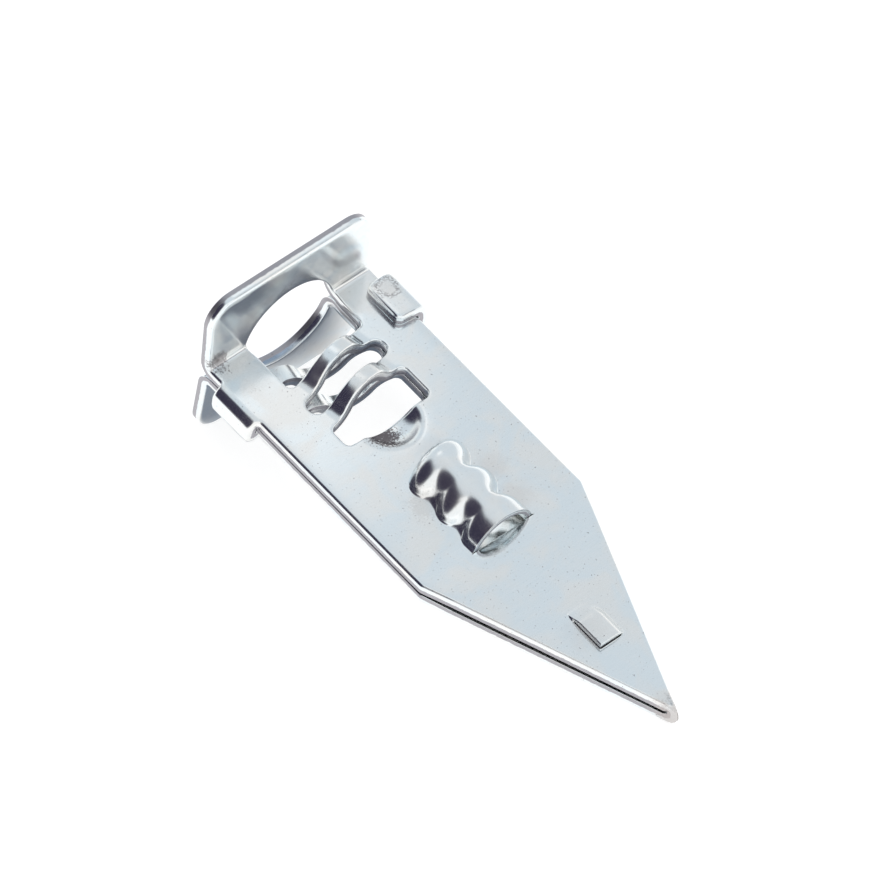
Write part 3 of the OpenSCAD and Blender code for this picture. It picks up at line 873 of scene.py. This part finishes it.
def pitting_group():
    """Heights of small pits and scratches in the plating."""
    tree, start, end = new_group(
        "Plating pits",
        [("Place", VECTOR, None), ("Scale", FLOAT, 2.0)],
        [("Height", FLOAT), ("Pits", FLOAT)],
    )
    cells = place(tree, "ShaderNodeTexVoronoi", -3, 0)
    feed(tree, cells, "Vector", start.outputs["Place"])
    feed(tree, cells, "Scale", start.outputs["Scale"])
    spread = noise_node(tree, start.outputs["Place"], 0.8, 2.0, -3, -2)
    few = range_node(tree, spread, 0.56, 0.7, -1, -2)
    near = range_node(tree, cells.outputs["Distance"], 0.16, 0.04, -1, 0)
    pits = math_node(tree, "MULTIPLY", near, few, 1, 0)
    fine = noise_node(tree, start.outputs["Place"], 9.0, 3.0, -1, 2)
    height = math_node(tree, "SUBTRACT", math_node(tree, "MULTIPLY", fine, 0.25, 1, 2), pits, 3, 1)
    feed(tree, end, "Height", height)
    feed(tree, end, "Pits", pits)
    return tree


def zinc_material(look):
    """Bright zinc plate on rolled steel."""
    material, tree, shader = new_material("Bright zinc plate")
    shader.inputs["Metallic"].default_value = 1.0
    spot = place(tree, "ShaderNodeTexCoord", -12, 0)
    at = vector_node(tree, "SCALE", spot.outputs["Object"], (0, 0, 0), -11, 0)
    at.node.inputs["Scale"].default_value = 1 / MM
    depth = place(tree, "ShaderNodeAttribute", -12, -3, attribute_name="shear_depth").outputs["Fac"]
    grain = use_group(tree, rolled_grain_group(), -9, 2, Place=at)
    wall = use_group(tree, shear_group(), -9, -3, Place=at, Depth=depth)
    pits = use_group(tree, pitting_group(), -9, 0, Place=at)
    streak = range_node(tree, grain.outputs["Streaks"], 0.3, 0.7, -7, 3)
    cloud = range_node(tree, grain.outputs["Mottle"], 0.35, 0.65, -7, 2)
    colour = mix_colour(tree, cloud, (*look.plate_colour, 1), (*look.cloud_colour, 1), -6, 2)
    share = math_node(tree, "MULTIPLY", streak, look.streaks, -6, 3)
    colour = mix_colour(tree, share, colour, (*look.streak_colour, 1), -5, 2)
    # Painted dark reflection: blue-grey colour round the flange hole that stands in for a
    # reflection.
    share = math_node(tree, "MULTIPLY", painted_reflection_mask(tree, at), look.painted_reflection, -5, 4)
    colour = mix_colour(tree, share, colour, (*look.painted_reflection_colour, 1), -4, 3)
    colour = mix_colour(tree, wall.outputs["Torn"], colour, (*look.torn_colour, 1), -4, 1)
    stain = stain_group()
    for row, (where, radius, patch, rim, specks) in enumerate(stain_places()):
        y = -5 - 2 * row
        blotch = use_group(tree, stain, -9, y, Place=at)
        blotch.inputs["Centre"].default_value = where
        blotch.inputs["Radius"].default_value = radius
        soft, ring, dots = (
            math_node(tree, "MULTIPLY", blotch.outputs[name], strength * scale, x, y - down)
            for name, strength, scale, x, down in (
                ("Patch", patch, look.stains, -7, 0),
                ("Rim", rim, look.stain_rims, -7, 1),
                ("Specks", specks, look.stain_rims, -8, 1),
            )
        )
        dark = math_node(tree, "MAXIMUM", ring, dots, -6, y - 1)
        colour = mix_colour(tree, soft, colour, (*look.stain_colour, 1), -3 + 0.2 * row, 1)
        colour = mix_colour(tree, dark, colour, (*look.rim_colour, 1), -2 + 0.2 * row, 1)
    share = math_node(tree, "MULTIPLY", pits.outputs["Pits"], 0.5, -3, -1)
    colour = mix_colour(tree, share, colour, (*look.rim_colour, 1), -1, 1)
    feed(tree, shader, "Base Color", colour)
    rough = math_node(tree, "MULTIPLY_ADD", cloud, look.rough_change, -5, -1)
    feed(tree, rough.node, 2, look.roughness)
    torn_rough = math_node(tree, "MULTIPLY", wall.outputs["Torn"], 0.22, -5, -2)
    feed(tree, shader, "Roughness", math_node(tree, "ADD", rough, torn_rough, -3, -2, clamp=True))
    bump = place(tree, "ShaderNodeBump", -2, -3)
    bump.inputs["Strength"].default_value = look.pit_depth
    bump.inputs["Distance"].default_value = 0.02 * MM
    feed(tree, bump, "Height", pits.outputs["Height"])
    feed(tree, shader, "Normal", bump.outputs["Normal"])
    return material


def painted_reflection_mask(tree, at):
    """Where the painted dark reflection lies: round the screw hole on the flanges, away from one
    end.

    It is blue-grey colour set by place alone, so it lies on both faces of each flange.
    """
    turn, _ = rest_placement()
    from_hole = vector_node(tree, "SUBTRACT", at, on_strip(0.0, 0.0, 0.0), -11, 5)
    along, across, up = (vector_node(tree, "DOT_PRODUCT", from_hole, tuple(turn[:, i]), -10, 5 + i)
                         for i in range(3))
    squares = (math_node(tree, "MULTIPLY", side, side, -9, 5 + i)
               for i, side in enumerate((across, up)))
    far = math_node(tree, "SQRT", math_node(tree, "ADD", *squares, -8, 5), None, -7, 5)
    ring = range_node(tree, far, 6.0, 4.4, -6, 5)
    flange = range_node(tree, along, 0.75, 0.45, -6, 6)
    left = range_node(tree, across, 2.6, 0.2, -6, 7)
    ring = math_node(tree, "MULTIPLY", ring, flange, -5, 5)
    return math_node(tree, "MULTIPLY", ring, left, -4, 5)


def on_strip(x, y, z):
    """A place in the strip's own frame, in millimetres, as it lies in the row frame."""
    turn, shift = rest_placement()
    return tuple(turn @ np.array((x, y, z)) + shift)


def stain_places():
    """Centre, radius, and strength of patch, rim and specks of each stain."""
    top = 0.85
    return (
        (on_strip(3.2, 6.5, top + 0.8), 0.8, 0.5, 0.8, 0.0),
        (on_strip(0.9, -6.2, 1.3), 1.0, 0.7, 0.0, 0.9),
        (on_strip(18.0, 2.9, top), 1.3, 0.5, 0.0, 0.0),
        (on_strip(20.7, 2.7, top), 1.3, 0.5, 0.0, 0.0),
        (on_strip(14.4, 0.6, top), 1.4, 0.4, 0.0, 0.0),
        # A pale brown patch thick with dark specks over the tooth, a little to its -Y side.
        (on_strip(11.5, -0.9, top - 0.5), 1.5, 0.6, 0.0, 1.5),
        (on_strip(17.8, -2.4, top), 1.6, 0.3, 0.0, 0.12),
        (on_strip(31.8, -0.9, top), 1.6, 0.35, 0.0, 0.0),
        (on_strip(0.4, -4.9, -2.2), 0.9, 0.6, 0.0, 0.8),
        (on_strip(39.7, 0.0, 0.0), 1.7, 1.3, 0.0, 0.3),
    )


# Settings.


def length_property(name, description, default, low, high):
    return FloatProperty(name=name, description=description, default=default * MM, min=low * MM,
                         max=high * MM, unit="LENGTH", precision=5)


def share_property(name, description, default):
    return FloatProperty(name=name, description=description, default=default,
                         min=0, max=1, subtype="FACTOR")


def colour_property(name, description, default):
    return FloatVectorProperty(name=name, description=description, default=default,
                               subtype="COLOR", size=3, min=0, max=1)


class AnchorSheet(bpy.types.PropertyGroup):
    thickness: length_property("Thickness", "Thickness of the sheet", 0.8, 0.6, 0.9)
    width: length_property("Width", "Width of both leaves", 14.0, 13.5, 14.5)


class AnchorFinish(bpy.types.PropertyGroup):
    plate_colour: colour_property("Plate", "Colour of the zinc plate", (0.84, 0.905, 0.935))
    cloud_colour: colour_property(
        "Clouding", "Colour of the paler clouds in the plate", (0.91, 0.91, 0.89))
    streak_colour: colour_property("Streaks", "Colour of the rolling streaks", (0.95, 0.97, 0.98))
    torn_colour: colour_property(
        "Torn edge", "Colour of the torn band of a sheared edge", (0.42, 0.41, 0.44))
    stain_colour: colour_property("Stains", "Colour of the pale brown stains", (0.68, 0.63, 0.60))
    rim_colour: colour_property(
        "Stain rims", "Colour of the dark rims and pits", (0.11, 0.085, 0.095))
    # Colour and strength of the painted dark reflection round the flange hole.
    painted_reflection_colour: colour_property(
        "Blue film", "Colour of the deep blue film round the hole", (0.26, 0.34, 0.45))
    painted_reflection: share_property("Painted reflection strength", "How much the blue film shows", 0.9)
    streaks: share_property("Streak strength", "How much the streaks show", 0.25)
    stains: share_property("Stain strength", "How much the stains show", 0.55)
    stain_rims: share_property("Rim strength", "How dark the rims of the stains are", 0.6)
    roughness: share_property("Roughness", "Roughness of the clean plate", 0.15)
    rough_change: share_property("Roughness change", "How much rougher the clouds are", 0.08)
    pit_depth: share_property("Pit depth", "Strength of the pits and fine texture", 0.35)


class AnchorStudio(bpy.types.PropertyGroup):
    floor_colour: colour_property("Floor", "Colour of the floor", (0.5, 0.5, 0.5))
    lens: FloatProperty(name="Lens", description="Focal length of the camera",
                        default=443.3, min=50, max=600, unit="CAMERA")
    fill: FloatProperty(name="Fill", description="Strength of the light from all round",
                        default=0.75, min=0, max=2)
    lamp_power: FloatProperty(name="Lamp", description="Power of the soft overhead lamp",
                              default=3.0, min=0, max=50, unit="POWER")


# Pieces.


class ANCHOR_OT_strip(bpy.types.Operator):
    """Form the strip from its flat blank and put it in the place of the plain solid"""

    bl_idname = "anchor.strip"
    bl_label = "Form the strip"

    def execute(self, context):
        sheet = context.scene.anchor_sheet
        mesh = strip_mesh(mm(sheet.thickness), mm(sheet.width) / 2)
        strip = add_object(context.scene, "anchor_strip_formed", mesh)
        mesh.materials.append(zinc_material(context.scene.anchor_finish))
        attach(strip, "root")
        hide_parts(STRIP_NODE)
        return {"FINISHED"}


# Stage.

CAMERA_PLACE = (0.3506, -0.3043, 0.5306)
CAMERA_BACK = (0.5055, -0.4344, 0.7455)
CAMERA_UP = (-0.5609, 0.4911, 0.6664)
SENSOR_WIDTH = 36
NEAREST_SEEN = 0.01
FLOOR_RADIUS = 2.0
FLOOR_DROP = 0.00005
FLOOR_GLOW = (0.7, 0.7, 0.7, 1)
LAMP_SIZE = 0.9
LAMP_PLACE = (0.35, 0.15, 1.25)


def add_object(scene, name, data):
    added = bpy.data.objects.new(name, data)
    scene.collection.objects.link(added)
    return added


def disc_mesh(name, radius, sides=64):
    work = bmesh.new()
    bmesh.ops.create_circle(work, cap_ends=True, radius=radius, segments=sides)
    mesh = bpy.data.meshes.new(name)
    work.to_mesh(mesh)
    work.free()
    return mesh


def make_camera(scene, lens):
    back = Vector(CAMERA_BACK).normalized()
    up = Vector(CAMERA_UP)
    up = (up - back * up.dot(back)).normalized()
    camera = add_object(scene, "Camera", bpy.data.cameras.new("Camera"))
    camera.data.sensor_width = SENSOR_WIDTH
    camera.data.lens = lens
    camera.data.clip_start = NEAREST_SEEN
    placed = Matrix((up.cross(back), up, back)).transposed().to_4x4()
    placed.translation = CAMERA_PLACE
    camera.matrix_world = placed
    scene.camera = camera


def floor_material(colour):
    """Pale floor that the camera sees as white paper wherever no shadow falls."""
    material, tree, shader = new_material("White floor")
    shader.inputs["Base Color"].default_value = (*colour, 1)
    shader.inputs["Roughness"].default_value = 0.9
    shader.inputs["Specular IOR Level"].default_value = 0.0
    rays = place(tree, "ShaderNodeLightPath", -4, 0)
    seen = math_node(tree, "MAXIMUM", rays.outputs["Is Camera Ray"],
                     rays.outputs["Is Glossy Ray"], -3, 0)
    glow = mix_colour(tree, seen, (0, 0, 0, 1), FLOOR_GLOW, -2, 0)
    feed(tree, shader, "Emission Color", glow)
    shader.inputs["Emission Strength"].default_value = 1.0
    return material


def card_material(name, shade, hard):
    """A flat card that fades out towards its rim."""
    material, tree, _ = new_material(name)
    tree.nodes.clear()
    spot = place(tree, "ShaderNodeTexCoord", -5, 0)
    away = place(tree, "ShaderNodeVectorMath", -4, 0, operation="LENGTH")
    feed(tree, away, 0, spot.outputs["Object"])
    cover = range_node(tree, away.outputs["Value"], 1.0, hard, -3, 0)
    glow = place(tree, "ShaderNodeEmission", -2, 1)
    glow.inputs["Color"].default_value = (*shade, 1)
    clear = place(tree, "ShaderNodeBsdfTransparent", -2, -1)
    blend = place(tree, "ShaderNodeMixShader", 0, 0)
    feed(tree, blend, 0, cover)
    feed(tree, blend, 1, clear.outputs[0])
    feed(tree, blend, 2, glow.outputs[0])
    feed(tree, place(tree, "ShaderNodeOutputMaterial", 2, 0), "Surface", blend.outputs[0])
    return material


# Cards that only reflections see: name, place on the strip in millimetres, direction from there,
# distance and radius in metres, shade, share of the radius at which the card starts to fade.
CARDS = (
    ("Sky card", (20, 0, 0.8), (-0.36, 0.40, 0.84), 1.30, 1.9, (0.69, 0.735, 0.775), 0.7),
    ("Dark card side", (20, 0, 0.8), (-0.41, -0.71, 0.55), 0.90, 0.84, (0.04, 0.035, 0.06), 0.62),
    ("Dark card end", (15, 0, 1.5), (-0.95, 0.28, 0.05), 0.50, 0.11, (0.12, 0.14, 0.19), 0.5),
    ("Dark card head", (1.8, -2.5, 0.8), (0.57, 0.43, 0.70), 0.085, 0.013, (0.04, 0.06, 0.10), 0.5),
    ("White card head", (3.5, -6.0, 0.8), (-0.26, 0.43, 0.86), 0.06, 0.016, (0.98, 0.99, 1.0), 0.2),
    ("White card barb", (31.8, -1.2, 1.0), (-0.26, -0.43, 0.86), 0.03, 0.004, (1.0, 1.0, 1.0), 0.5),
)
# Cards that lie level: name, place on the strip in millimetres, radius in metres, shade, share of
# the radius. Two lie on the floor against the part as painted shade: dark sheets where the floor
# is shaded. The last is in its tunnel and meets the sheet: a glowing white disc, a painted
# reflection. Reflections alone see them, so they show no edge there.
LEVEL_CARDS = (
    ("Painted shade card below", (6.6, 3.2, -5.9), 0.0075, (0.12, 0.135, 0.17), 0.5),
    ("Painted shade card outside", (3.0, -5.0, -6.44), 0.0036, (0.24, 0.27, 0.32), 0.5),
    # Painted reflection: a glowing white disc inside the tunnel, lighting up the inside of the
    # mouth.
    ("Painted reflection card inside", (19.9, 0.5, 0.1), 0.0017, (1.0, 1.0, 1.0), 0.8),
)


def place_card(scene, name, centre, facing, radius, shade, hard):
    mesh = disc_mesh(name, 1.0)
    mesh.materials.append(card_material(name, shade, hard))
    card = add_object(scene, name, mesh)
    card.matrix_world = (
        Matrix.Translation(centre)
        @ facing.to_track_quat("Z", "Y").to_matrix().to_4x4()
        @ Matrix.Diagonal((radius, radius, radius, 1))
    )
    card.visible_camera = False
    card.visible_diffuse = False
    card.visible_shadow = False
    card.visible_transmission = False


def hang_cards(scene):
    for name, aim, direction, distance, radius, shade, hard in CARDS:
        toward = Vector(direction).normalized()
        centre = Vector(on_strip(*aim)) * MM + toward * distance
        place_card(scene, name, centre, toward, radius, shade, hard)
    for name, aim, radius, shade, hard in LEVEL_CARDS:
        centre = Vector(on_strip(*aim)) * MM
        place_card(scene, name, centre, Vector((0, 0, 1)), radius, shade, hard)


def set_world(scene, fill):
    """White all round for the camera and for reflections, and a plain fill for the rest."""
    world = bpy.data.worlds.new("Studio")
    scene.world = world
    world.use_nodes = True
    tree = world.node_tree
    sky = tree.nodes["Background"]
    rays = place(tree, "ShaderNodeLightPath", -4, 0)
    seen = math_node(tree, "MAXIMUM", rays.outputs["Is Camera Ray"],
                     rays.outputs["Is Glossy Ray"], -3, 0)
    seen = math_node(tree, "MAXIMUM", seen, rays.outputs["Is Transmission Ray"], -2, 0)
    feed(tree, sky, "Strength", range_node(tree, seen, 0.0, 1.0, -1, 0, fill, 1.0))
    sky.inputs["Color"].default_value = (1, 1, 1, 1)


class ANCHOR_OT_stage(bpy.types.Operator):
    """Lay the floor, hang the lamp and the cards, and set up the camera"""

    bl_idname = "anchor.stage"
    bl_label = "Set the stage"

    def execute(self, context):
        scene = context.scene
        studio = scene.anchor_studio
        mesh = disc_mesh("Floor", FLOOR_RADIUS)
        mesh.materials.append(floor_material(studio.floor_colour))
        floor = add_object(scene, "Floor", mesh)
        floor.location.z = -FLOOR_DROP
        lamp = add_object(scene, "Soft lamp", bpy.data.lights.new("Soft lamp", "AREA"))
        lamp.data.shape = "DISK"
        lamp.data.size = LAMP_SIZE
        lamp.data.energy = studio.lamp_power
        lamp.location = LAMP_PLACE
        lamp.rotation_euler = Vector(lamp.location).to_track_quat("Z", "Y").to_euler()
        lamp.visible_glossy = False
        hang_cards(scene)
        set_world(scene, studio.fill)
        make_camera(scene, studio.lens)
        scene.view_settings.view_transform = "Standard"
        return {"FINISHED"}


class ANCHOR_PT_panel(bpy.types.Panel):
    """Sizes, finish and stage of the anchor"""

    bl_idname = "ANCHOR_PT_panel"
    bl_label = "Drywall anchor"
    bl_space_type = "VIEW_3D"
    bl_region_type = "UI"
    bl_category = "Anchor"

    def draw(self, context):
        scene = context.scene
        for title, settings, operator in (
            ("Sheet", scene.anchor_sheet, "anchor.strip"),
            ("Finish", scene.anchor_finish, None),
            ("Studio", scene.anchor_studio, "anchor.stage"),
        ):
            box = self.layout.box()
            box.label(text=title)
            for name in settings.bl_rna.properties.keys():
                if name not in {"rna_type", "name"}:
                    box.prop(settings, name)
            if operator:
                box.operator(operator)


CLASSES = (AnchorSheet, AnchorFinish, AnchorStudio, ANCHOR_OT_strip, ANCHOR_OT_stage,
           ANCHOR_PT_panel)


def register():
    for item in CLASSES:
        bpy.utils.register_class(item)
    bpy.types.Scene.anchor_sheet = PointerProperty(type=AnchorSheet)
    bpy.types.Scene.anchor_finish = PointerProperty(type=AnchorFinish)
    bpy.types.Scene.anchor_studio = PointerProperty(type=AnchorStudio)


def unregister():
    del bpy.types.Scene.anchor_studio
    del bpy.types.Scene.anchor_finish
    del bpy.types.Scene.anchor_sheet
    for item in reversed(CLASSES):
        bpy.utils.unregister_class(item)


def main():
    register()
    bpy.ops.anchor.strip()
    bpy.ops.anchor.stage()


if __name__ == "__main__":
    main()
